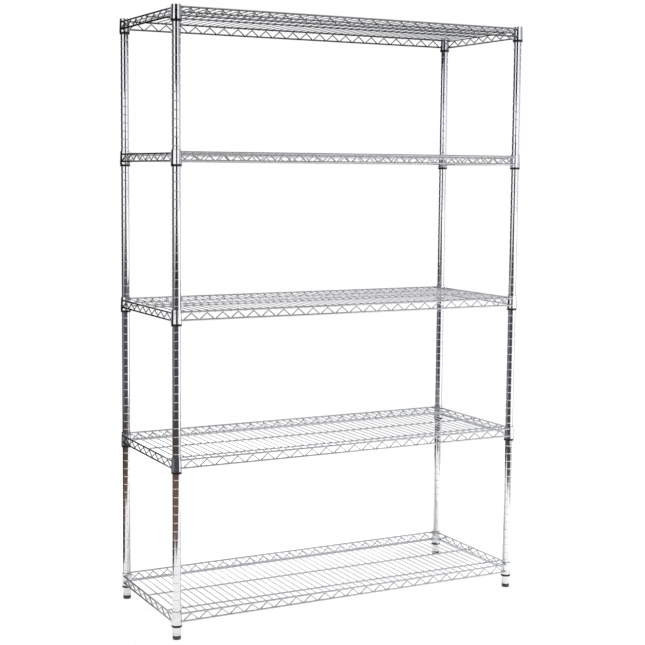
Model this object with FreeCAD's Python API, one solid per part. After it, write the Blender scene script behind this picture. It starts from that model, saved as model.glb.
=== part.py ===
# Five-tier wire shelving rack: four grooved round posts on levelling feet, and five welded wire
# shelves. Each shelf hangs on the posts by four tapered collars, which sit on split tapered sleeves
# that clip into the posts' grooves.
# Millimetres. +X is along the shelves, +Y is from the front to the back, +Z is up. The origin is on
# the floor, below the middle of the rack. Heights inside a shelf are measured from its ring level,
# the middle height of the sleeves' visible lips.
import FreeCAD, Part
import math
import os

V = FreeCAD.Vector

# ---- driving dimensions ----
POST_SPAN_X = 1177.0        # between post axes, along the shelves
POST_SPAN_Y = 426.0         # between post axes, front to back
POST_R = 12.7               # one-inch post
POST_WALL = 1.2
GROOVE_PITCH = 25.4         # one groove per inch
GROOVE_DEPTH = 0.8
GROOVE_WIDTH = 3.0
RING_1 = 41.0               # ring level of the lowest shelf
LEVELS = (0, 18, 35, 53, 69)  # shelf heights in grooves above the lowest shelf
GROOVE_ABOVE_RING = 4.0     # nearest groove above a ring level

FOOT_HEIGHT = 12.0          # pad of a levelling foot, screwed fully in
FOOT_R = 12.3
FOOT_GAP = 0.3              # between the pad and the post's end
STUD_R = 4.0
STUD_LENGTH = 34.0
THREAD_PITCH = 1.25
THREAD_DEPTH = 0.55
INSERT_LENGTH = 24.0
THREAD_CLEARANCE = 0.06

LIP_R = 15.75               # visible lip of a sleeve, below the collar
LIP_HALF = 3.4              # half of the lip's height
SEAT_R = (14.95, 13.70)     # sleeve's outer radius at the bottom and top of the tapered seat
SEAT_BANDS = 6
SLEEVE_TOP = 44.6
SLEEVE_BORE = POST_R + 0.05
SPLIT = 1.2                 # gap between the two halves of a sleeve

COLLAR_FOOT = 3.5           # collar's lower end, on the sleeve's lip
COLLAR_TOP = 44.0
COLLAR_R = (16.5, 15.0)     # collar's outer radius at the bottom and at the top
COLLAR_CLEARANCE = 0.3      # collar bore around the sleeve
COLLAR_EDGE = 0.4

RAIL_R = 2.75               # rim wires
SNAKE_R = 1.75              # zigzag wires
STRINGER_R = 2.25           # lengthwise support wires
DECK_R = 1.5                # shelf deck wires
RAIL_OFFSET = 13.0          # rim wires, outwards from the post axes
LONG_TOP, LONG_BOTTOM = 37.7, 13.8    # front and rear rim wires, above the ring level
SIDE_TOP, SIDE_BOTTOM = 34.6, 12.5    # left and right rim wires, above the ring level
DECK_LEVEL = LONG_TOP - 2.75
STRINGERS_Y = (-160.0, 0.0, 160.0)
DECK_PITCH = 24.82          # also half the period of every zigzag
DECK_WIRES_EACH_SIDE = 23   # of the middle one
SIDE_BENDS_EACH_SIDE = 8    # of the middle bend of a left or right zigzag
BEND_R = 4.5                # zigzag bends, on the wire's centreline
LONG_TAIL, SIDE_TAIL = 3.6, 5.0  # level ends of the zigzags, up to the collars
WELD_SINK = 0.05            # how far welded wires sink into each other
RAIL_END = 8.0              # rim wires stop this far from a post's axis plane

CAP_HEAD = 1.6
CAP_DEPTH = 14.0

# ---- derived ----
HALF_X, HALF_Y = POST_SPAN_X / 2, POST_SPAN_Y / 2
RINGS = [RING_1 + n * GROOVE_PITCH for n in LEVELS]
POST_BOTTOM = FOOT_HEIGHT + FOOT_GAP
RACK_TOP = RINGS[-1] + COLLAR_TOP + 0.6
POST_TOP = RACK_TOP - CAP_HEAD
BORE_R = POST_R - POST_WALL
STRINGER_LEVEL = DECK_LEVEL - DECK_R - STRINGER_R + WELD_SINK
CORNERS = {
    "front_left": (-HALF_X, -HALF_Y),
    "front_right": (HALF_X, -HALF_Y),
    "rear_left": (-HALF_X, HALF_Y),
    "rear_right": (HALF_X, HALF_Y),
}


# ---- shape helpers ----
def revolved(points):
    """Solid of revolution about Z from a closed outline of (radius, height) points."""
    outline = [V(r, 0, z) for r, z in points]
    face = Part.Face(Part.makePolygon(outline + outline[:1]))
    return face.revolve(V(0, 0, 0), V(0, 0, 1), 360)


def rod(start, end, radius):
    """Straight round wire from start to end."""
    run = end - start
    return Part.makeCylinder(radius, run.Length, start, run)


def bent_wire(points, radius, bend):
    """Round wire along a flat zigzag: straight runs joined by tangent arcs of radius bend."""
    edges = []
    last = points[0]
    for before, corner, after in zip(points, points[1:], points[2:]):
        back = (before - corner).normalize()
        ahead = (after - corner).normalize()
        half_turn = (math.pi - back.getAngle(ahead)) / 2
        reach = bend * math.tan(half_turn)
        begin = corner + back * reach
        finish = corner + ahead * reach
        inward = (back + ahead).normalize()
        middle = corner + inward * (bend / math.cos(half_turn) - bend)
        edges.append(Part.LineSegment(last, begin).toShape())
        edges.append(Part.Arc(begin, middle, finish).toShape())
        last = finish
    edges.append(Part.LineSegment(last, points[-1]).toShape())
    path = Part.Wire(edges)
    circle = Part.Circle(points[0], points[1] - points[0], radius).toShape()
    wire = path.makePipeShell([Part.Wire([circle])], True, False)
    return wire if wire.ShapeType == "Solid" else Part.Solid(wire)


def at(shape, x=0.0, y=0.0, z=0.0):
    """Copy of a shape, moved."""
    moved = shape.copy()
    moved.translate(V(x, y, z))
    return moved


def save(name, shapes):
    """Writes one node: a single solid, or several separate ones."""
    shapes = shapes if isinstance(shapes, list) else [shapes]
    whole = shapes[0] if len(shapes) == 1 else Part.makeCompound(shapes)
    whole.exportStep(f"parts/{name}.step")


# ---- posts, caps, inserts and levelling feet ----
def make_post():
    """Tube with a round-bottomed groove every inch, from just above the foot to the top shelf."""
    first = RING_1 + GROOVE_ABOVE_RING - GROOVE_PITCH
    count = int((POST_TOP - first) / GROOVE_PITCH) + 1
    ends = [V(POST_R, 0, POST_TOP - 0.2), V(POST_R - 0.2, 0, POST_TOP), V(BORE_R, 0, POST_TOP)]
    ends += [V(BORE_R, 0, POST_BOTTOM), V(POST_R - 0.4, 0, POST_BOTTOM)]
    ends += [V(POST_R, 0, POST_BOTTOM + 0.4)]
    edges = [Part.LineSegment(a, b).toShape() for a, b in zip(ends, ends[1:])]
    last = ends[-1]
    for n in range(count):
        middle = first + n * GROOVE_PITCH
        begin = V(POST_R, 0, middle - GROOVE_WIDTH / 2)
        deepest = V(POST_R - GROOVE_DEPTH, 0, middle)
        finish = V(POST_R, 0, middle + GROOVE_WIDTH / 2)
        edges.append(Part.LineSegment(last, begin).toShape())
        edges.append(Part.Arc(begin, deepest, finish).toShape())
        last = finish
    edges.append(Part.LineSegment(last, ends[0]).toShape())
    return Part.Face(Part.Wire(edges)).revolve(V(0, 0, 0), V(0, 0, 1), 360)


def make_cap():
    """Plug in the top of a post: a low domed head over a ribbed stem."""
    head, stem, rib = POST_TOP, BORE_R - 0.5, BORE_R - 0.03
    outline = [(0, head - CAP_DEPTH), (stem - 0.8, head - CAP_DEPTH), (stem, head - CAP_DEPTH + 0.8)]
    for n in range(3):
        low = head - CAP_DEPTH + 2.5 + 3.5 * n
        outline += [(stem, low), (rib, low + 1.2), (rib, low + 1.7), (stem, low + 1.9)]
    outline += [(stem, head), (POST_R, head), (POST_R, head + 0.7), (POST_R - 0.25, head + 1.1)]
    outline += [(POST_R - 0.8, head + 1.35), (POST_R - 3.0, head + CAP_HEAD), (0, head + CAP_HEAD)]
    return revolved(outline)


def make_insert():
    """Threaded plug, pressed into the lower end of a post, that the foot's stud screws into."""
    low, high = POST_BOTTOM + 0.6, POST_BOTTOM + 0.6 + INSERT_LENGTH
    outer, bore = BORE_R - 0.02, STUD_R + THREAD_CLEARANCE
    outline = [(bore + 0.8, low), (outer - 0.5, low), (outer, low + 0.8), (outer, low + 6)]
    outline += [(outer - 0.8, low + 7), (outer - 0.8, high - 5), (outer, high - 4)]
    outline += [(outer, high - 1), (outer - 1, high), (bore + 0.5, high), (bore, high - 0.5)]
    outline += [(bore, low + 0.8)]
    return revolved(outline)


def make_stud():
    """Threaded stud of a levelling foot, its lower end held in the pad."""
    low, high = FOOT_HEIGHT - 5.0, FOOT_HEIGHT - 5.0 + STUD_LENGTH
    outline = [(0, low), (STUD_R, low), (STUD_R, FOOT_HEIGHT)]
    turns = int((high - FOOT_HEIGHT - 2.0) / THREAD_PITCH)
    for n in range(turns):
        base = FOOT_HEIGHT + n * THREAD_PITCH
        outline += [(STUD_R, base + 0.1), (STUD_R - THREAD_DEPTH, base + 0.6)]
        outline += [(STUD_R, base + 1.1)]
    outline += [(STUD_R, high - 0.9), (STUD_R - 0.9, high), (0, high)]
    return revolved(outline)


def make_pad():
    """Moulded pad of a levelling foot: a round glide with a slimmer neck, closed below."""
    socket, floor = STUD_R, FOOT_HEIGHT - 5.0
    outline = [(0, 0), (FOOT_R - 1.6, 0), (FOOT_R - 0.5, 0.45), (FOOT_R, 1.5), (FOOT_R, 7.6)]
    outline += [(FOOT_R - 0.35, 8.0), (FOOT_R - 0.35, 8.6), (FOOT_R, 9.0), (FOOT_R, 11.2)]
    outline += [(FOOT_R - 0.8, FOOT_HEIGHT), (socket, FOOT_HEIGHT), (socket, floor), (0, floor)]
    return revolved(outline)


# ---- sleeves ----
def make_sleeve_halves():
    """The two halves of a split tapered sleeve, with the inner ridge that sits in a post groove.
    The tapered seat is drawn as a stack of equal bands."""
    ridge = GROOVE_ABOVE_RING + GROOVE_PITCH
    ridge_r = POST_R - GROOVE_DEPTH + 0.1
    seat = []
    for n in range(SEAT_BANDS + 1):
        share = n / SEAT_BANDS
        radius = SEAT_R[0] + share * (SEAT_R[1] - SEAT_R[0])
        seat.append((radius, LIP_HALF + share * (SLEEVE_TOP - LIP_HALF)))
    outline = [
        (SLEEVE_BORE + 0.4, -LIP_HALF),
        (LIP_R - 0.5, -LIP_HALF),
        (LIP_R, -LIP_HALF + 0.6),
        (LIP_R, LIP_HALF - 0.4),
        (LIP_R - 0.4, LIP_HALF),
        *seat,
        (SLEEVE_BORE, SLEEVE_TOP),
        (SLEEVE_BORE, ridge + 0.7),
        (ridge_r, ridge + 0.35),
        (ridge_r, ridge - 0.35),
        (SLEEVE_BORE, ridge - 0.7),
        (SLEEVE_BORE, -LIP_HALF + 0.4),
    ]
    ring = revolved(outline)
    reach, height = 2 * LIP_R, 2 * SLEEVE_TOP
    front = Part.makeBox(2 * reach, reach, height, V(-reach, -reach - SPLIT / 2, -SLEEVE_TOP / 2))
    back = Part.makeBox(2 * reach, reach, height, V(-reach, SPLIT / 2, -SLEEVE_TOP / 2))
    return [ring.common(front).Solids[0], ring.common(back).Solids[0]]


# ---- one shelf, at ring level 0 ----
def collar_radius(height):
    """Outer radius of the tapered collar at a height above the ring level."""
    share = (height - COLLAR_FOOT) / (COLLAR_TOP - COLLAR_FOOT)
    return COLLAR_R[0] + share * (COLLAR_R[1] - COLLAR_R[0])


def make_collar():
    """Tapered steel collar that wedges down over a sleeve."""
    slope = (SEAT_R[1] - SEAT_R[0]) / (SLEEVE_TOP - LIP_HALF)
    bore_foot = SEAT_R[0] + slope * (COLLAR_FOOT - LIP_HALF) + COLLAR_CLEARANCE
    bore_top = SEAT_R[0] + slope * (COLLAR_TOP - LIP_HALF) + COLLAR_CLEARANCE
    outline = [
        (bore_foot, COLLAR_FOOT),
        (COLLAR_R[0] - COLLAR_EDGE, COLLAR_FOOT),
        (COLLAR_R[0], COLLAR_FOOT + COLLAR_EDGE),
        (COLLAR_R[1], COLLAR_TOP - COLLAR_EDGE),
        (COLLAR_R[1] - COLLAR_EDGE, COLLAR_TOP),
        (bore_top, COLLAR_TOP),
    ]
    return revolved(outline)


def collar_cores():
    """Solid cones that fill the four collars, to trim the wires that are welded to them."""
    low, high = COLLAR_FOOT - 5, COLLAR_TOP + 5
    core = Part.makeCone(collar_radius(low), collar_radius(high), high - low, V(0, 0, low))
    return [at(core, x, y) for x, y in CORNERS.values()]


def trimmed(wire, cores):
    """A wire, cut back to the outside of the collars."""
    for core in cores:
        if wire.BoundBox.intersect(core.BoundBox):
            wire = wire.cut(core).Solids[0]
    return wire


def zigzag(low, high, bends_each_side, tail):
    """Corners of a zigzag wire as (distance, height) pairs, the same each way from the middle.
    Its rounded bends reach the heights low and high, and it ends in short tails, level with low."""
    overshoot = 0.0
    for _ in range(20):
        slope = math.atan2(high - low + 2 * overshoot, DECK_PITCH)
        overshoot = BEND_R * (1 / math.cos(slope) - 1)
    end = bends_each_side * DECK_PITCH
    points = [(-end - tail, low), (-end, low)]
    for n in range(1 - bends_each_side, bends_each_side):
        is_low = (n + bends_each_side) % 2 == 0
        points.append((n * DECK_PITCH, low - overshoot if is_low else high + overshoot))
    return points + [(end, low), (end + tail, low)]


def make_long_truss(side, cores):
    """Front (side -1) or rear (side 1) truss. Its zigzag stands just inside the two rim wires:
    the lower bends are beside the lower wire and the upper bends are below the deck wires."""
    y = side * (HALF_Y + RAIL_OFFSET)
    reach = HALF_X - RAIL_END
    top = rod(V(-reach, y, LONG_TOP), V(reach, y, LONG_TOP), RAIL_R)
    bottom = rod(V(-reach, y, LONG_BOTTOM), V(reach, y, LONG_BOTTOM), RAIL_R)
    snake_y = y - side * (RAIL_R + SNAKE_R - WELD_SINK)
    high = DECK_LEVEL - DECK_R - SNAKE_R + WELD_SINK
    corners = zigzag(LONG_BOTTOM, high, DECK_WIRES_EACH_SIDE, LONG_TAIL)
    snake = bent_wire([V(x, snake_y, z) for x, z in corners], SNAKE_R, BEND_R)
    return [trimmed(top, cores), trimmed(bottom, cores), trimmed(snake, cores)]


def make_side_truss(side, cores):
    """Left (side -1) or right (side 1) truss, with its zigzag between its two rim wires."""
    x = side * (HALF_X + RAIL_OFFSET)
    reach = HALF_Y - RAIL_END
    top = rod(V(x, -reach, SIDE_TOP), V(x, reach, SIDE_TOP), RAIL_R)
    bottom = rod(V(x, -reach, SIDE_BOTTOM), V(x, reach, SIDE_BOTTOM), RAIL_R)
    touching = RAIL_R + SNAKE_R - WELD_SINK
    corners = zigzag(SIDE_BOTTOM + touching, SIDE_TOP - touching, SIDE_BENDS_EACH_SIDE, SIDE_TAIL)
    snake = bent_wire([V(x, y, z) for y, z in corners], SNAKE_R, BEND_R)
    return [trimmed(top, cores), trimmed(bottom, cores), trimmed(snake, cores)]


def butt_reach(drop, radius, own_radius):
    """How near its axis a rim wire lets the flat end of a lower wire come, drop below it."""
    top_edge = drop - own_radius
    return math.sqrt(radius**2 - max(top_edge, 0) ** 2) - WELD_SINK


def make_stringers():
    """Lengthwise wires below the deck, welded to the inner sides of the side trusses."""
    gap = butt_reach(SIDE_TOP - STRINGER_LEVEL, RAIL_R, STRINGER_R)
    reach = HALF_X + RAIL_OFFSET - gap
    return [rod(V(-reach, y, STRINGER_LEVEL), V(reach, y, STRINGER_LEVEL), STRINGER_R)
            for y in STRINGERS_Y]


def make_deck():
    """Front-to-back deck wires, welded on the stringers and to the front and rear rim wires."""
    gap = butt_reach(LONG_TOP - DECK_LEVEL, RAIL_R, DECK_R)
    reach = HALF_Y + RAIL_OFFSET - gap
    wires = []
    for n in range(-DECK_WIRES_EACH_SIDE, DECK_WIRES_EACH_SIDE + 1):
        x = n * DECK_PITCH
        wires.append(rod(V(x, -reach, DECK_LEVEL), V(x, reach, DECK_LEVEL), DECK_R))
    return wires


def main():
    os.makedirs("parts", exist_ok=True)
    per_corner = {
        "post": make_post(),
        "post_cap": make_cap(),
        "foot_insert": make_insert(),
        "foot_stud": make_stud(),
        "foot_pad": make_pad(),
    }
    for corner, (x, y) in CORNERS.items():
        for kind, shape in per_corner.items():
            save(f"{kind}_{corner}", at(shape, x, y))

    halves = make_sleeve_halves()
    collar = make_collar()
    cores = collar_cores()
    shelf = {
        "collars": [at(collar, x, y) for x, y in CORNERS.values()],
        "front_truss": make_long_truss(-1, cores),
        "rear_truss": make_long_truss(1, cores),
        "left_truss": make_side_truss(-1, cores),
        "right_truss": make_side_truss(1, cores),
        "stringers": make_stringers(),
        "deck_wires": make_deck(),
    }
    for tier, ring in enumerate(RINGS, start=1):
        sleeves = [at(half, x, y, ring) for x, y in CORNERS.values() for half in halves]
        save(f"sleeves_{tier}", sleeves)
        for kind, shapes in shelf.items():
            save(f"shelf_{tier}_{kind}", [at(shape, z=ring) for shape in shapes])


main()
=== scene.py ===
# Chrome wire shelving rack: finishes, weld beads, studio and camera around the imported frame.
# Metres, in the rack's own frame: +X along the shelves, +Y from the front to the back, +Z up.
import math

import bmesh
import bpy
import numpy as np
from mathutils import Matrix, Vector


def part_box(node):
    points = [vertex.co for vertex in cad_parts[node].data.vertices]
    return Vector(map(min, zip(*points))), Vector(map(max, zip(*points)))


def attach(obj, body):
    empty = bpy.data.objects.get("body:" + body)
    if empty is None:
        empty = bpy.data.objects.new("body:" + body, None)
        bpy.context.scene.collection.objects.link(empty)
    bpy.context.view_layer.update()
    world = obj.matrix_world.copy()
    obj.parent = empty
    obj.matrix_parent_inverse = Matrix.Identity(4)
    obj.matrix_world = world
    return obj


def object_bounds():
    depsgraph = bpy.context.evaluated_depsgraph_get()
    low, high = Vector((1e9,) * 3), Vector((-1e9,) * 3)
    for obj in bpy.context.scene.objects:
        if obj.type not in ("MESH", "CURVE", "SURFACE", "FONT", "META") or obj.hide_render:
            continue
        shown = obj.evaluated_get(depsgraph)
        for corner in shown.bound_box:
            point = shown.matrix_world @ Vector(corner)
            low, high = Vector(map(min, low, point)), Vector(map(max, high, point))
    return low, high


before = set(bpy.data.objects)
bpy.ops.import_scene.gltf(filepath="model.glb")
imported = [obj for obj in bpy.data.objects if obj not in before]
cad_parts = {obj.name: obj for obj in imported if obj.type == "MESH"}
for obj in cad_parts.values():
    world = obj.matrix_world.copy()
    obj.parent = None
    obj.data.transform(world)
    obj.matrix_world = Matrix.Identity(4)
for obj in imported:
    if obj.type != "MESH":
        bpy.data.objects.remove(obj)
CAD_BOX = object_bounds()

# ---- driving dimensions, in metres ----
MM = 0.001
RAIL_R = 2.75 * MM           # rim wires
SNAKE_R = 1.75 * MM          # zigzag wires
STRINGER_R = 2.25 * MM       # lengthwise support wires
DECK_R = 1.5 * MM            # deck wires
DECK_COUNT = 47              # deck wires in a shelf
STRINGER_COUNT = 3
GROOVE_PITCH = 25.4 * MM     # one groove per inch of post
POST_SPAN = (1177 * MM, 426 * MM)
RAIL_OFFSET = 13 * MM        # rim wires, outwards from the post axes
COLLAR_R = (16.5 * MM, 15 * MM)  # a collar's radius at its lower and upper end
SIDE_BENDS = 7               # zigzag bends each side of the middle one, left and right
LIP_HALF = 3.4 * MM          # half of a sleeve lip's height
GROOVE_ABOVE_RING = 4 * MM   # nearest groove above the middle of a sleeve's lip
GROOVE_EASE = 0.65           # share of a groove wall's slope that its plating hides
SHELVES = ["shelf_%d" % n for n in range(1, 6)]

# ---- finishes ----
CLOUDY = (0.35, 0.7)         # noise from clear to cloudy, on chrome
MOTTLED = (0.35, 0.65)       # the same on zinc and weld metal
MOULDED = (0.3, 0.7)         # the same on plastic
GROOVE_FADE = (0.3 * MM, 1.5 * MM)  # how far from its middle a groove's satin and painted light start and end to fade
GROOVE_PAINTED_LIGHT = 0.9            # share of the paler colour painted into a groove: painted light, which lifts the shade that falls in it
GROOVE_ROUGH = 0.2           # roughness that a groove adds
WELD_FADE = (2.2 * MM, 4.2 * MM)  # how far from a weld its dullness starts and ends to fade
WELD_RAGGED = 2.4 * MM       # how much that distance varies
WELD_DULL = 0.35             # share of a weld's own colour in the wire
WELD_ROUGH = 0.2             # roughness that a weld adds
DUST_HEIGHTS = (0.6 * MM, 3.0 * MM)  # where the dust on the feet starts and ends to thin out
DUST_SHARE = 0.5             # most of the plastic that it can hide

# ---- weld beads: half their size along X, Y and Z, in millimetres ----
DECK_ON_STRINGER = (1.9, 1.9, 0.75)
DECK_ON_RIM = (1.9, 1.5, 1.8)
STRINGER_ON_END_RIM = (1.5, 2.7, 2.5)
ZIGZAG_ON_LOWER_RIM = (3.4, 1.0, 1.3)
ZIGZAG_ON_DECK = (1.8, 1.8, 0.7)
END_ZIGZAG_ON_RIM = (1.2, 3.4, 0.7)
X_RIM_ON_COLLAR = (2.4, 3.2, 3.2)
Y_RIM_ON_COLLAR = (3.2, 2.4, 3.2)
DECK_BEAD_INSET = 0.6 * MM   # from the deck wires' ends
STRINGER_BEAD_INSET = 0.7 * MM  # from the stringers' ends
COLLAR_BEAD_SHIFT = 0.4 * MM  # out of the collar along the wire, and sideways towards the post
BEAD_LUMPS = 5               # lumps on a bead
BEAD_SWELL = (0.05, 0.35)    # how far a lump stands out, as a share of the bead
BEAD_SIZES = (0.85, 1.0)     # shares of the sizes above

# ---- camera: the viewpoint, its aim and its field of view ----
CAMERA_PLACE = (-2.0411, -3.8170, 1.3708)
CAMERA_YAW = 26.985          # degrees, from +Y towards +X
CAMERA_PITCH = 5.477         # degrees, downwards
CAMERA_ROLL = 0.428          # degrees, its right side raised
CAMERA_LENS = 75.55          # millimetres
CAMERA_SENSOR = 36.0         # millimetres across
CAMERA_SHIFT = (0.04245, -0.03224)

# ---- studio: metres, degrees, watts and strengths ----
ROOM = (1.0, 1.0, 1.02)      # where no zone lies over it
# Parts of the room as the chrome sees it, each laid over those before it: colour, from and to
# bearing, from and to elevation, and half the width of its soft edges in bearing and elevation.
# Bearings go from the front towards the left, and elevations up from the horizon.
ZONES = (
    # the right side: grey, darker higher up, with a thin gap between two screens
    ((0.62, 0.64, 0.67), (-150, -50), (-20, 70), (14.0, 15.0)),
    ((0.30, 0.32, 0.35), (-98, -30), (3.8, 90), (10.0, 1.5)),
    ((0.30, 0.31, 0.33), (-100, -84), (-20, 40), (6.0, 10.0)),
    # behind on the left: black, and pale again above the horizon towards the middle
    ((0.015, 0.015, 0.018), (88, 150), (-90, 75), (9.0, 12.0)),
    ((0.84, 0.85, 0.88), (140, 188), (10, 90), (8.0, 5.0)),
    ((0.50, 0.51, 0.54), (140, 188), (28, 90), (8.0, 4.0)),
    # the ceiling: darker in front and on the left, with a bright middle
    ((0.30, 0.30, 0.32), (-180, 180), (40, 100), (0.0, 6.0)),
    ((0.15, 0.15, 0.16), (-62, 90), (20, 100), (8.0, 5.0)),
    ((1.0, 1.0, 1.0), (-180, 180), (71, 120), (0.0, 4.0)),
    # the foot of the room: the dark and then brown edge of its floor, and grey nearer the paper
    ((0.16, 0.16, 0.17), (70, 158), (-90, -5), (8.0, 1.5)),
    ((0.050, 0.055, 0.068), (-36, 75), (-90, -3.0), (8.0, 1.8)),
    ((0.060, 0.046, 0.040), (-40, 150), (-90, -10.2), (12.0, 0.8)),
    ((0.145, 0.090, 0.072), (-40, 180), (-90, -12.6), (12.0, 1.0)),
    ((0.22, 0.22, 0.225), (-180, 180), (-90, -22), (0.0, 2.5)),
)
ROOM_STRENGTH = 1.55         # for what is mirrored
BACKDROP_STRENGTH = 1.0      # for the camera
FILL_STRENGTH = 1.3          # for matt surfaces
PAPER = {"left": -1.3, "right": 1.8, "front": -1.45, "back": 2.6}  # before it is turned to the camera
PAPER_WHITE = 0.93
PAPER_FADE = 0.2             # width of its soft edge
FOOT_OPENING = (0.12, 0.16)  # how far from a post's axis the opening at a foot starts and ends to close
# the floor cloth, left of the rack and behind it
CLOTH_CORNERS = ((-1.12, 0.08), (-0.83, 0.63), (-1.09, 1.08), (-1.65, -0.02))
CLOTH_HEIGHT = 0.5 * MM      # above the paper
REAR_SCREEN_BEHIND = 0.24    # from the rack's back
REAR_SCREEN_SIZE = (0.27, 2.3)  # across and high
FRONT_SCREENS_PLACE = (-1.20, -3.08)  # a point on the line that the front screens stand on
FRONT_SCREENS_LINE = (-0.94, 0.342)   # the line's direction
# each front screen's two ends along that line, and its lower and upper edge
FRONT_SCREENS = ((-1.10, 1.15, 0.80, 1.55), (-0.62, 0.85, 1.55, 1.80), (-0.90, 2.20, 1.80, 2.90))
FLAG = {"left": -0.64, "right": 0.70, "front": -0.27, "back": 0.27}
FLAG_BELOW = 8 * MM          # under the top shelf's front truss
KEY_LIGHT = {"place": (2.6, -2.4, 3.4), "size": (1.8, 1.8), "power": 60.0}
SIDE_PANEL = {"place": (1.43, -1.18, 0.72), "aim": (1.10, -0.24, 0.72), "size": (1.64, 0.95), "power": 5.8}


# ---- short ways to write node trees ----
class Nodes:
    """Adds nodes to an emptied tree. Each call returns an output of the new node, its first one
    unless add is asked for another."""

    def __init__(self, tree):
        self.tree = tree
        tree.nodes.clear()

    def add(self, kind, inputs=None, output=0, **settings):
        made = self.tree.nodes.new(kind)
        for key, value in settings.items():
            setattr(made, key, value)
        for key, value in (inputs or {}).items():
            if isinstance(value, bpy.types.NodeSocket):
                self.tree.links.new(value, made.inputs[key])
            else:
                made.inputs[key].default_value = value
        return made.outputs[output] if made.outputs else made

    def math(self, operation, a, b=0.0, c=0.0):
        return self.add("ShaderNodeMath", {0: a, 1: b, 2: c}, operation=operation)

    def smooth(self, value, start, end, low=0.0, high=1.0):
        """low where value is before start, high after end, and a smooth step between them."""
        return self.add(
            "ShaderNodeMapRange",
            {"Value": value, "From Min": start, "From Max": end, "To Min": low, "To Max": high},
            interpolation_type="SMOOTHSTEP",
        )

    def spread(self, value, low, high):
        """value, from 0 to 1, put on the range low to high."""
        return self.add("ShaderNodeMapRange", {"Value": value, "To Min": low, "To Max": high})

    def noise(self, place, scale, detail=3.0, roughness=0.55):
        sockets = {"Vector": place, "Scale": scale, "Detail": detail, "Roughness": roughness}
        return self.add("ShaderNodeTexNoise", sockets)

    def mix(self, share, a, b):
        """A colour, from a to b. The node's sockets 6 and 7 and its output 2 are the ones for colours."""
        return self.add("ShaderNodeMix", {0: share, 6: a, 7: b}, output=2, data_type="RGBA")

    def parts(self, vector):
        """The X, Y and Z of a vector."""
        return list(self.add("ShaderNodeSeparateXYZ", {0: vector}).node.outputs)

    def place(self, stretch=(1.0, 1.0, 1.0)):
        """Where the point is in its object's frame, with each axis stretched for the pattern. For
        all but the floor, that is the rack's frame at rest."""
        own = self.add("ShaderNodeTexCoord").node.outputs["Object"]
        if tuple(stretch) == (1.0, 1.0, 1.0):
            return own
        return self.add("ShaderNodeMapping", {"Vector": own, "Scale": stretch})

    def bump(self, height, strength, distance, normal=None):
        sockets = {"Height": height, "Strength": strength, "Distance": distance}
        if normal is not None:
            sockets["Normal"] = normal
        return self.add("ShaderNodeBump", sockets)


def rgb(red, green, blue):
    return (red, green, blue, 1.0)


def new_material(name):
    material = bpy.data.materials.new(name)
    material.use_nodes = True
    return material, Nodes(material.node_tree)


def surface(nodes, **sockets):
    """The Principled shader and the material's output. Socket names are written with _ for a space."""
    named = {key.replace("_", " "): value for key, value in sockets.items()}
    shader = nodes.add("ShaderNodeBsdfPrincipled", named)
    nodes.add("ShaderNodeOutputMaterial", {"Surface": shader})


# ---- finishes ----
def post_chrome():
    """Bright plate on tube: fine polishing rings, cloudy patches, and satin grooves, which the polishing
    wheel doesn't reach.
    The grooves are also painted paler: painted light, which lifts the shade that falls in them."""
    material, n = new_material("rack_post_chrome")
    place = n.place()
    height = n.parts(place)[2]
    one_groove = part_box("sleeves_1")[0].z + LIP_HALF + GROOVE_ABOVE_RING
    from_groove = n.math("PINGPONG", n.math("SUBTRACT", height, one_groove), GROOVE_PITCH / 2)
    groove = n.smooth(from_groove, *GROOVE_FADE, low=1.0, high=0.0)
    cloud = n.noise(place, scale=14.0, detail=4.0)
    speck = n.noise(place, scale=900.0, detail=2.0)
    clean = n.mix(n.smooth(cloud, *CLOUDY), rgb(0.655, 0.66, 0.67), rgb(0.61, 0.615, 0.63))
    # painted light: the grooves get a paler colour than the plate, to lift the shade that falls in them
    colour = n.mix(n.math("MULTIPLY", groove, GROOVE_PAINTED_LIGHT), clean, rgb(0.84, 0.84, 0.845))
    rough = n.math("ADD", n.spread(cloud, low=0.03, high=0.09), n.math("MULTIPLY", groove, GROOVE_ROUGH))
    rough = n.math("ADD", rough, n.smooth(speck, start=0.62, end=0.74, high=0.08))
    rings = n.noise(n.place(stretch=(6.0, 6.0, 900.0)), scale=1.0, detail=2.0)
    waves = n.noise(place, scale=42.0, detail=1.0)
    # plating fills the grooves a little, so that their walls look less steep
    facing = n.add("ShaderNodeNewGeometry").node.outputs["Normal"]
    facing_x, facing_y, facing_z = n.parts(facing)
    eased = n.math("MULTIPLY", facing_z, n.math("MULTIPLY_ADD", groove, -GROOVE_EASE, 1.0))
    normal = n.add("ShaderNodeCombineXYZ", {0: facing_x, 1: facing_y, 2: eased})
    normal = n.add("ShaderNodeVectorMath", {0: normal}, operation="NORMALIZE")
    normal = n.bump(rings, strength=0.10, distance=0.02 * MM, normal=normal)
    normal = n.bump(waves, strength=0.10, distance=0.3 * MM, normal=normal)
    surface(n, Base_Color=colour, Metallic=1.0, Roughness=rough, Normal=normal)
    return material


def collar_chrome():
    """Bright plate on formed steel: softer, wavier reflections than the tube has."""
    material, n = new_material("rack_collar_chrome")
    place = n.place()
    cloud = n.noise(place, scale=60.0, detail=4.0)
    scuff = n.noise(n.place(stretch=(1.0, 1.0, 7.0)), scale=240.0, detail=3.0)
    waves = n.noise(place, scale=90.0, detail=1.0)
    grain = n.noise(place, scale=1400.0, detail=2.0)
    colour = n.mix(n.smooth(cloud, *CLOUDY), rgb(0.65, 0.655, 0.665), rgb(0.58, 0.585, 0.60))
    scuffed = n.smooth(scuff, start=0.6, end=0.75, high=0.12)
    rough = n.math("ADD", n.spread(cloud, low=0.04, high=0.12), scuffed)
    normal = n.bump(waves, strength=0.16, distance=0.3 * MM)
    normal = n.bump(grain, strength=0.05, distance=0.02 * MM, normal=normal)
    surface(n, Base_Color=colour, Metallic=1.0, Roughness=rough, Normal=normal)
    return material


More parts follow.
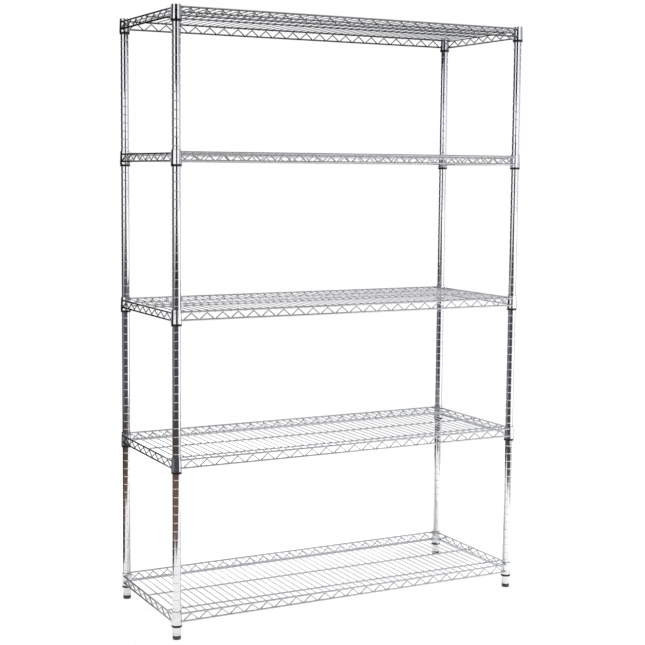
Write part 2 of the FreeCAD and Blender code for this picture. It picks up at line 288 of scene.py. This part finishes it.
def wire_chrome(name, axis, spacing):
    """Bright plate on drawn wire, dull where another wire is welded across it: at every multiple
    of spacing along the axis (0 is X, 1 is Y)."""
    material, n = new_material(name)
    place = n.place()
    cloud = n.noise(place, scale=35.0, detail=4.0)
    ragged = n.math("MULTIPLY", n.noise(place, scale=700.0, detail=2.0), WELD_RAGGED)
    from_weld = n.math("PINGPONG", n.parts(place)[axis], spacing / 2)
    weld = n.smooth(n.math("ADD", from_weld, ragged), *WELD_FADE, low=1.0, high=0.0)
    # painted shade: the wire's plate gets a darker colour than the posts' chrome, which darkens the wires'
    # reflections
    clean = n.mix(n.smooth(cloud, *CLOUDY), rgb(0.50, 0.505, 0.515), rgb(0.44, 0.445, 0.46))
    colour = n.mix(n.math("MULTIPLY", weld, WELD_DULL), clean, rgb(0.32, 0.315, 0.31))
    rough = n.math("ADD", n.spread(cloud, low=0.05, high=0.13), n.math("MULTIPLY", weld, WELD_ROUGH))
    stretch = (40.0, 700.0, 700.0) if axis == 0 else (700.0, 40.0, 700.0)
    drawn = n.noise(n.place(stretch), scale=1.0, detail=2.0)
    normal = n.bump(drawn, strength=0.12, distance=0.03 * MM)
    surface(n, Base_Color=colour, Metallic=1.0, Roughness=rough, Normal=normal)
    return material


def weld_metal():
    """Plated weld metal: duller and lumpier than the wire."""
    material, n = new_material("rack_weld_metal")
    grain = n.noise(n.place(), scale=900.0, detail=4.0)
    colour = n.mix(n.smooth(grain, *MOTTLED), rgb(0.50, 0.50, 0.51), rgb(0.36, 0.355, 0.35))
    rough = n.spread(grain, low=0.16, high=0.42)
    normal = n.bump(grain, strength=0.35, distance=0.25 * MM)
    surface(n, Base_Color=colour, Metallic=1.0, Roughness=rough, Normal=normal)
    return material


def moulded_plastic(name, dark, light, rough, grain_scale, gloss=0.5, dusty=False):
    """Injection-moulded plastic: fine grain, cloudy gloss, and dust at the floor if asked for."""
    material, n = new_material(name)
    place = n.place()
    cloud = n.noise(place, scale=120.0, detail=4.0)
    grain = n.noise(place, grain_scale, detail=3.0, roughness=0.6)
    colour = n.mix(n.smooth(cloud, *MOULDED), rgb(*dark), rgb(*light))
    mean = n.math("MULTIPLY_ADD", grain, 0.5, n.math("MULTIPLY", cloud, 0.5))
    if dusty:
        dust = n.smooth(n.parts(place)[2], *DUST_HEIGHTS, low=1.0, high=0.0)
        patchy = n.math("MULTIPLY", dust, cloud)
        colour = n.mix(n.math("MULTIPLY", patchy, DUST_SHARE), colour, rgb(0.33, 0.32, 0.30))
    normal = n.bump(grain, strength=0.3, distance=0.08 * MM)
    surface(n, Base_Color=colour, Roughness=n.spread(mean, *rough), Specular_IOR_Level=gloss, Normal=normal)
    return material


def zinc_steel():
    """Zinc-plated threaded steel."""
    material, n = new_material("rack_zinc_steel")
    spangle = n.noise(n.place(), scale=500.0, detail=4.0)
    colour = n.mix(n.smooth(spangle, *MOTTLED), rgb(0.66, 0.67, 0.66), rgb(0.50, 0.50, 0.47))
    rough = n.spread(spangle, low=0.22, high=0.42)
    normal = n.bump(spangle, strength=0.15, distance=0.05 * MM)
    surface(n, Base_Color=colour, Metallic=1.0, Roughness=rough, Normal=normal)
    return material


def finish_frame():
    """Gives every CAD node its finish."""
    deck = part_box("shelf_1_deck_wires")
    deck_pitch = (deck[1].x - deck[0].x - 2 * DECK_R) / (DECK_COUNT - 1)
    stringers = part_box("shelf_1_stringers")
    stringer_gap = (stringers[1].y - stringers[0].y - 2 * STRINGER_R) / (STRINGER_COUNT - 1)
    # post_cap stands before post, because a node takes the first finish that its name starts with
    finishes = {
        "post_cap": moulded_plastic("rack_cap_plastic", dark=(0.50, 0.51, 0.53), light=(0.58, 0.59, 0.61),
                                    rough=(0.25, 0.45), grain_scale=2500.0),
        "post": post_chrome(),
        "foot_insert": moulded_plastic("rack_insert_plastic", dark=(0.05, 0.05, 0.055),
                                       light=(0.08, 0.08, 0.085), rough=(0.4, 0.6), grain_scale=1800.0),
        "foot_stud": zinc_steel(),
        "foot_pad": moulded_plastic("rack_foot_plastic", dark=(0.018, 0.018, 0.019),
                                    light=(0.035, 0.035, 0.036), rough=(0.38, 0.62), grain_scale=1500.0,
                                    dusty=True),
        "sleeves": moulded_plastic("rack_sleeve_plastic", dark=(0.004, 0.004, 0.0045),
                                   light=(0.009, 0.009, 0.010), rough=(0.20, 0.38), grain_scale=2200.0,
                                   gloss=0.3),
        "collars": collar_chrome(),
        "crossways": wire_chrome("rack_wire_chrome_y", 1, stringer_gap),
        "lengthways": wire_chrome("rack_wire_chrome_x", 0, deck_pitch),
    }
    crossways = ("deck_wires", "left_truss", "right_truss")
    for name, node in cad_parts.items():
        if name.startswith("shelf_"):
            part = name.split("_", 2)[2]
            kind = "collars" if part == "collars" else "crossways" if part in crossways else "lengthways"
        else:
            kind = next(k for k in finishes if name.startswith(k))
        node.data.materials.clear()
        node.data.materials.append(finishes[kind])


# ---- welds ----
def bead_places(shelf):
    """The middle, in metres, and the half-sizes, in millimetres, of every weld bead on a shelf."""
    deck_low, deck_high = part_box(shelf + "_deck_wires")
    deck_pitch = (deck_high.x - deck_low.x - 2 * DECK_R) / (DECK_COUNT - 1)
    middle = DECK_COUNT // 2
    deck_z = deck_high.z - DECK_R
    low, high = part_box(shelf + "_stringers")
    stringers_y = np.linspace(low.y + STRINGER_R, high.y - STRINGER_R, STRINGER_COUNT)
    stringer_z = high.z - STRINGER_R
    places = []
    deck_end = deck_high.y - DECK_BEAD_INSET
    stringer_end = high.x - STRINGER_BEAD_INSET
    for n in range(-middle, middle + 1):
        x = n * deck_pitch
        places += [((x, y, deck_low.z), DECK_ON_STRINGER) for y in stringers_y]
        places += [((x, side * deck_end, deck_z), DECK_ON_RIM) for side in (-1, 1)]
    for y in stringers_y:
        places += [((side * stringer_end, y, stringer_z), STRINGER_ON_END_RIM) for side in (-1, 1)]
    for side, name in ((-1, "_front_truss"), (1, "_rear_truss")):
        low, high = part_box(shelf + name)
        # where the zigzag wire, the innermost of the truss, lies against the rim wires
        inner = (high.y if side < 0 else low.y) + side * 2 * SNAKE_R
        for n in range(1 - middle, middle):
            if n % 2:
                places.append(((n * deck_pitch, inner, low.z + RAIL_R), ZIGZAG_ON_LOWER_RIM))
            else:
                snake_y = inner - side * SNAKE_R
                places.append(((n * deck_pitch, snake_y, deck_low.z), ZIGZAG_ON_DECK))
    for name in ("_left_truss", "_right_truss"):
        low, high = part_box(shelf + name)
        for n in range(-SIDE_BENDS, SIDE_BENDS + 1):
            z = high.z - 2 * RAIL_R if n % 2 else low.z + 2 * RAIL_R
            places.append((((low.x + high.x) / 2, n * deck_pitch, z), END_ZIGZAG_ON_RIM))
    return places + collar_welds(shelf)


def collar_welds(shelf):
    """Beads where the rim wires run into the collars."""
    low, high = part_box(shelf + "_collars")
    half_x, half_y = (span / 2 for span in POST_SPAN)
    places = []
    for name, along_x in (("_front_truss", True), ("_left_truss", False)):
        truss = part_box(shelf + name)
        for z in (truss[0].z + RAIL_R, truss[1].z - RAIL_R):
            share = (z - low.z) / (high.z - low.z)
            radius = COLLAR_R[0] + share * (COLLAR_R[1] - COLLAR_R[0])
            reach = math.sqrt(radius**2 - RAIL_OFFSET**2) + COLLAR_BEAD_SHIFT
            out = RAIL_OFFSET - COLLAR_BEAD_SHIFT
            for a in (-1, 1):
                for b in (-1, 1):
                    if along_x:
                        places.append(((a * (half_x - reach), b * (half_y + out), z), X_RIM_ON_COLLAR))
                    else:
                        places.append(((a * (half_x + out), b * (half_y - reach), z), Y_RIM_ON_COLLAR))
    return places


def weld_beads(shelf, material, seed):
    """One mesh of small lumpy blobs, one for each weld of a shelf."""
    ball = bmesh.new()
    bmesh.ops.create_icosphere(ball, subdivisions=3, radius=1.0)
    unit = np.array([v.co for v in ball.verts])
    triangles = np.array([[v.index for v in f.verts] for f in ball.faces])
    ball.free()
    chance = np.random.default_rng(seed)
    points, faces = [], []
    for n, (middle, radii) in enumerate(bead_places(shelf)):
        lumps = chance.normal(size=(BEAD_LUMPS, 3))
        lumps /= np.linalg.norm(lumps, axis=1, keepdims=True)
        swell = 1 + np.clip(unit @ lumps.T, 0, 1) ** 2 @ chance.uniform(*BEAD_SWELL, BEAD_LUMPS)
        size = chance.uniform(*BEAD_SIZES) * MM
        points.append(unit * (swell / swell.max())[:, None] * np.array(radii) * size + np.array(middle))
        faces.append(triangles + n * len(unit))
    mesh = bpy.data.meshes.new(shelf + "_weld_beads")
    mesh.from_pydata(np.concatenate(points).tolist(), [], np.concatenate(faces).tolist())
    mesh.shade_smooth()
    mesh.materials.append(material)
    beads = bpy.data.objects.new(mesh.name, mesh)
    bpy.context.scene.collection.objects.link(beads)
    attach(beads, shelf)


# ---- studio ----
def studio_world():
    """What the chrome mirrors: a pale room with dark gaps, laid together from ZONES. The camera
    itself, and matt surfaces, see plain soft white."""
    world = bpy.data.worlds.new("studio")
    bpy.context.scene.world = world
    world.use_nodes = True
    n = Nodes(world.node_tree)
    x, y, z = n.parts(n.add("ShaderNodeTexCoord").node.outputs["Generated"])
    bearing = n.math("ARCTAN2", n.math("MULTIPLY", x, -1.0), n.math("MULTIPLY", y, -1.0))
    elevation = n.math("ARCSINE", z)

    def band(value, low, high, soft):
        """1 from low to high and 0 outside, with soft edges."""
        rise = n.smooth(value, low - soft, low + soft)
        fall = n.smooth(value, high - soft, high + soft, low=1.0, high=0.0)
        return n.math("MULTIPLY", rise, fall)

    room = rgb(*ROOM)
    for colour, bearings, elevations, soft in ZONES:
        middle = math.radians(sum(bearings) / 2)
        half = math.radians(bearings[1] - bearings[0]) / 2
        turned = n.math("WRAP", n.math("SUBTRACT", bearing, middle), math.pi, -math.pi)
        around = band(turned, -half, half, math.radians(soft[0]))
        up = band(elevation, *(math.radians(degrees) for degrees in (*elevations, soft[1])))
        room = n.mix(n.math("MULTIPLY", around, up), room, rgb(*colour))

    ray = n.add("ShaderNodeLightPath")
    is_camera, is_glossy = (ray.node.outputs[name] for name in ("Is Camera Ray", "Is Glossy Ray"))
    glossy = n.add("ShaderNodeBackground", {"Color": room, "Strength": ROOM_STRENGTH})
    white = rgb(1.0, 1.0, 1.0)
    backdrop = n.add("ShaderNodeBackground", {"Color": white, "Strength": BACKDROP_STRENGTH})
    fill = n.add("ShaderNodeBackground", {"Color": white, "Strength": FILL_STRENGTH})
    seen = n.add("ShaderNodeMixShader", {0: is_glossy, 1: fill, 2: glossy})
    seen = n.add("ShaderNodeMixShader", {0: is_camera, 1: seen, 2: backdrop})
    n.add("ShaderNodeOutputWorld", {"Surface": seen})


def stage_sheet(name, corners, material, only_mirrored=False):
    """A flat four-cornered sheet of the studio."""
    mesh = bpy.data.meshes.new(name)
    mesh.from_pydata(corners, [], [(0, 1, 2, 3)])
    mesh.materials.append(material)
    sheet = bpy.data.objects.new(name, mesh)
    bpy.context.scene.collection.objects.link(sheet)
    if only_mirrored:
        sheet.visible_camera = False
        sheet.visible_diffuse = False
        sheet.visible_shadow = False
    return sheet


def level(left, right, front, back, height):
    return [(left, front, height), (right, front, height), (right, back, height), (left, back, height)]


def studio_floor():
    """A sheet of white paper under the rack, squared to the camera, whose edges run out softly. It is open
    to the camera around each foot, so that a screwed-out foot shows below it;
    there the camera sees the white backdrop instead of the feet's shadows on the paper: painted light that
    hides those shadows."""
    material, n = new_material("studio_paper")
    x, y, _ = n.parts(n.place())
    across = n.math("MINIMUM", n.math("SUBTRACT", x, PAPER["left"]), n.math("SUBTRACT", PAPER["right"], x))
    deep = n.math("MINIMUM", n.math("SUBTRACT", y, PAPER["front"]), n.math("SUBTRACT", PAPER["back"], y))
    inside = n.smooth(n.math("MINIMUM", across, deep), 0.0, PAPER_FADE)

    turn = (0.0, 0.0, math.radians(-CAMERA_YAW))
    in_rack = n.parts(n.add("ShaderNodeMapping", {"Vector": n.place(), "Rotation": turn}))
    squares = []
    for place, span in zip(in_rack, POST_SPAN):
        from_post = n.math("SUBTRACT", n.math("ABSOLUTE", place), span / 2)
        squares.append(n.math("MULTIPLY", from_post, from_post))
    from_axis = n.math("SQRT", n.math("ADD", *squares))
    near_foot = n.smooth(from_axis, *FOOT_OPENING, low=1.0, high=0.0)
    is_camera = n.add("ShaderNodeLightPath").node.outputs["Is Camera Ray"]
    # painted light: near the feet the camera sees the white backdrop, not the shade that the feet cast on
    # the paper
    opening = n.math("MULTIPLY", near_foot, is_camera)

    shown = n.math("MULTIPLY", inside, n.math("SUBTRACT", 1.0, opening))
    paper = n.add("ShaderNodeBsdfDiffuse", {"Color": rgb(PAPER_WHITE, PAPER_WHITE, PAPER_WHITE)})
    clear = n.add("ShaderNodeBsdfTransparent")
    seen = n.add("ShaderNodeMixShader", {0: shown, 1: clear, 2: paper})
    n.add("ShaderNodeOutputMaterial", {"Surface": seen})
    floor = stage_sheet("studio_floor", level(**PAPER, height=0.0), material)
    floor.rotation_euler = turn


def black_cloth(name, one_sided=False):
    """Matt black weave; a one-sided cloth isn't there for what looks at its back."""
    material, n = new_material(name)
    weave = n.noise(n.place(), scale=400.0, detail=2.0)
    dye = n.mix(weave, rgb(0.006, 0.006, 0.007), rgb(0.012, 0.012, 0.013))
    cloth = n.add("ShaderNodeBsdfDiffuse", {"Color": dye})
    if one_sided:
        clear = n.add("ShaderNodeBsdfTransparent")
        behind = n.add("ShaderNodeNewGeometry").node.outputs["Backfacing"]
        cloth = n.add("ShaderNodeMixShader", {0: behind, 1: cloth, 2: clear})
    n.add("ShaderNodeOutputMaterial", {"Surface": cloth})
    return material


def dark_sheets():
    """What shows black in the chrome, and in nothing else: a screen behind the rack's left end,
    three in front of it beside the camera, a flag under the top shelf, and a cloth on the floor."""
    cloth = black_cloth("studio_black_cloth")

    def upright(name, one_end, other_end, low, high):
        corners = [(*one_end, low), (*other_end, low), (*other_end, high), (*one_end, high)]
        stage_sheet(name, corners, cloth, only_mirrored=True)

    left, behind = CAD_BOX[0].x, CAD_BOX[1].y + REAR_SCREEN_BEHIND
    width, height = REAR_SCREEN_SIZE
    upright("studio_rear_screen", (left - width, behind), (left, behind), 0.0, height)
    middle, along = Vector(FRONT_SCREENS_PLACE), Vector(FRONT_SCREENS_LINE)
    for n, (start, end, low, high) in enumerate(FRONT_SCREENS, start=1):
        upright("studio_front_screen_%d" % n, middle + start * along, middle + end * along, low, high)
    flag = level(**FLAG, height=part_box("shelf_5_front_truss")[0].z - FLAG_BELOW)
    stage_sheet("studio_flag", flag, black_cloth("studio_flag_cloth", one_sided=True), only_mirrored=True)
    on_floor = [(*spot, CLOTH_HEIGHT) for spot in CLOTH_CORNERS]
    stage_sheet("studio_floor_cloth", on_floor, cloth, only_mirrored=True)


def area_light(name, place, aim, size, power, mirrored=False):
    lamp = bpy.data.lights.new(name, "AREA")
    lamp.shape = "RECTANGLE"
    lamp.size, lamp.size_y = size
    lamp.energy = power
    light = bpy.data.objects.new(name, lamp)
    light.location = place
    light.rotation_euler = (Vector(aim) - Vector(place)).to_track_quat("-Z", "Y").to_euler()
    light.visible_glossy = mirrored
    light.visible_camera = False
    bpy.context.scene.collection.objects.link(light)


def studio():
    studio_world()
    studio_floor()
    dark_sheets()
    middle = (CAD_BOX[0] + CAD_BOX[1]) / 2
    area_light("key_light", aim=middle, **KEY_LIGHT)
    # a white panel in front of the right end, seen in the right-hand posts
    area_light("side_panel", mirrored=True, **SIDE_PANEL)
    view = bpy.context.scene.view_settings
    view.view_transform = "Standard"
    view.look = "None"


def camera():
    lens = bpy.data.cameras.new("camera")
    lens.sensor_width = CAMERA_SENSOR
    lens.lens = CAMERA_LENS
    lens.shift_x, lens.shift_y = CAMERA_SHIFT
    viewer = bpy.data.objects.new("camera", lens)
    turns = ((-CAMERA_YAW, "Z"), (90 - CAMERA_PITCH, "X"), (CAMERA_ROLL, "Z"))
    viewer.matrix_world = Matrix.Translation(CAMERA_PLACE)
    for degrees, axis in turns:
        viewer.matrix_world = viewer.matrix_world @ Matrix.Rotation(math.radians(degrees), 4, axis)
    bpy.context.scene.collection.objects.link(viewer)
    bpy.context.scene.camera = viewer


finish_frame()
bead_metal = weld_metal()
for number, shelf_name in enumerate(SHELVES):
    weld_beads(shelf_name, bead_metal, number)
studio()
camera()
